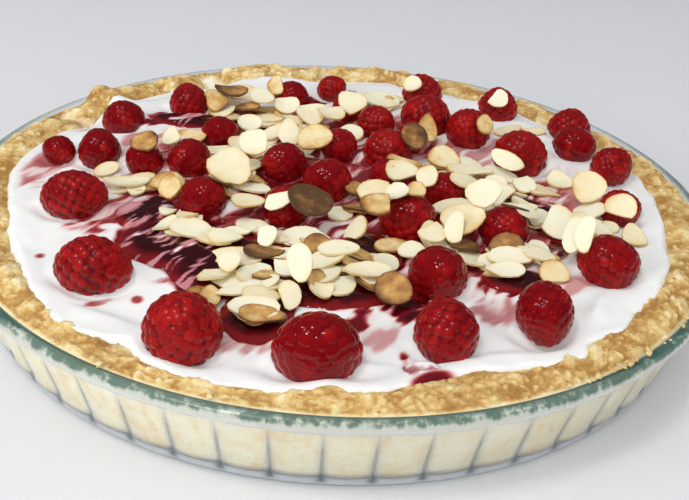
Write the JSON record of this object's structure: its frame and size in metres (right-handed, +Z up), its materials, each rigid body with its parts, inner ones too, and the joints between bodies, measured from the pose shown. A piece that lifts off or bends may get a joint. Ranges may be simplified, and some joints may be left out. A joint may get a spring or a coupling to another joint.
{
  "type": "raspberry cream tart in a glass flan dish",
  "caption": "Round shortcrust tart filled with whipped cream, topped with whole raspberries, pools of jam and flaked almonds, in its own low fluted clear glass flan dish.",
  "frame": {"origin": "centre of the glass dish's underside", "axes": "+Z up out of the dish, -Y towards the front of the tart"},
  "size_m": [0.25, 0.25, 0.0439],
  "materials": {
    "glass": "clear pressed glass with a faint blue-green tint",
    "crust": "baked shortcrust, matt and crumbly",
    "cream": "softly set whipped cream, satin",
    "jam": "wet glossy raspberry jam",
    "raspberry": "moist raspberry skin"
  },
  "bodies": {
    "root": {"glass_dish": "glass", "crust": "crust", "cream": "cream", "jam_middle": "jam", "jam_right": "jam", "jam_back": "jam", "jam_spot": "jam", "jam_drop": "jam", "raspberry_01": "raspberry", "raspberry_02": "raspberry", "raspberry_03": "raspberry", "raspberry_04": "raspberry", "raspberry_05": "raspberry", "raspberry_06": "raspberry", "raspberry_07": "raspberry", "raspberry_08": "raspberry", "raspberry_09": "raspberry", "raspberry_10": "raspberry", "raspberry_11": "raspberry", "raspberry_12": "raspberry", "raspberry_13": "raspberry", "raspberry_14": "raspberry", "raspberry_15": "raspberry", "raspberry_16": "raspberry", "raspberry_17": "raspberry", "raspberry_18": "raspberry", "raspberry_19": "raspberry", "raspberry_20": "raspberry", "raspberry_21": "raspberry", "raspberry_22": "raspberry", "raspberry_23": "raspberry", "raspberry_24": "raspberry", "raspberry_25": "raspberry", "raspberry_26": "raspberry", "raspberry_27": "raspberry", "raspberry_28": "raspberry", "raspberry_29": "raspberry", "raspberry_30": "raspberry", "raspberry_31": "raspberry", "raspberry_32": "raspberry", "raspberry_33": "raspberry", "raspberry_34": "raspberry", "raspberry_35": "raspberry", "raspberry_36": "raspberry", "raspberry_37": "raspberry", "raspberry_38": "raspberry", "raspberry_39": "raspberry"}
  },
  "joints": []
}
